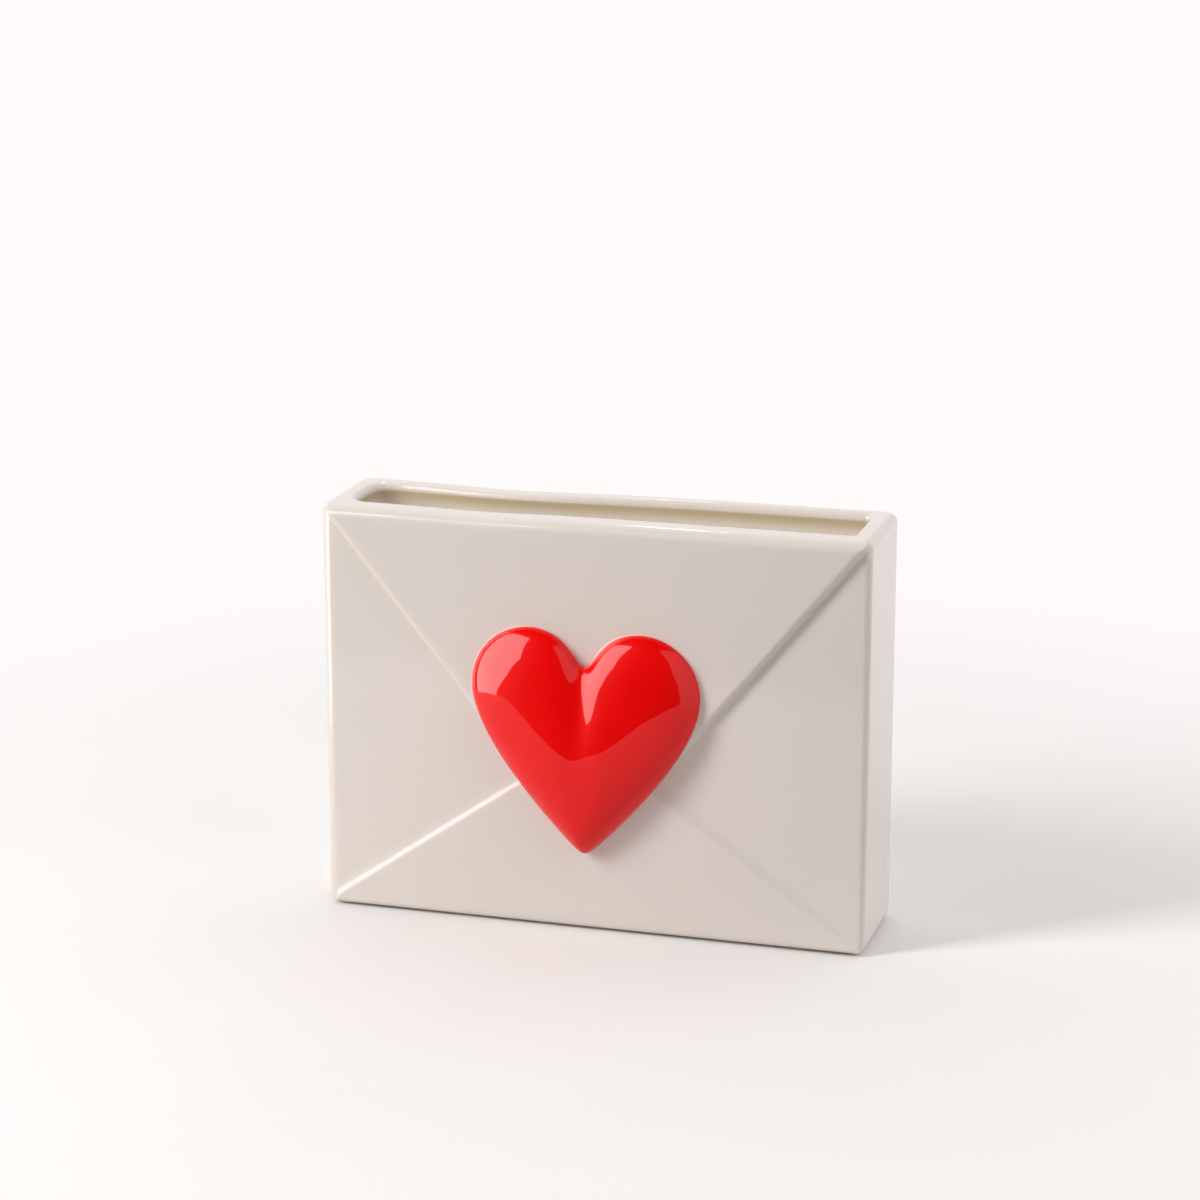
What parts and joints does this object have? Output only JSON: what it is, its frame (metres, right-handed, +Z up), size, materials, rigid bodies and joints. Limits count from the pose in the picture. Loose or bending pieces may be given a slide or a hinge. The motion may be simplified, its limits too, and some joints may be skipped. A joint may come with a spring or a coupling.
{
  "type": "envelope slot vase",
  "caption": "Upright ceramic slot vase shaped like a closed envelope, with a raised flap, a bottom fold and a puffed heart as its seal.",
  "frame": {"origin": "on the table, under the middle of the whole object's box", "axes": "+Z up, X along the wide front, the front with the heart faces -Y"},
  "size_m": [0.203, 0.0624, 0.1524],
  "materials": {
    "ivory_glaze": "glossy, warm off-white",
    "red_glaze": "high gloss, bright red",
    "pad_felt": "matte felt"
  },
  "bodies": {
    "root": {"vase_body": "ivory_glaze", "top_flap": "ivory_glaze", "bottom_fold": "ivory_glaze", "heart_seal": "red_glaze", "foot_pad_front_left": "pad_felt", "foot_pad_front_right": "pad_felt", "foot_pad_rear_left": "pad_felt", "foot_pad_rear_right": "pad_felt"}
  },
  "joints": []
}
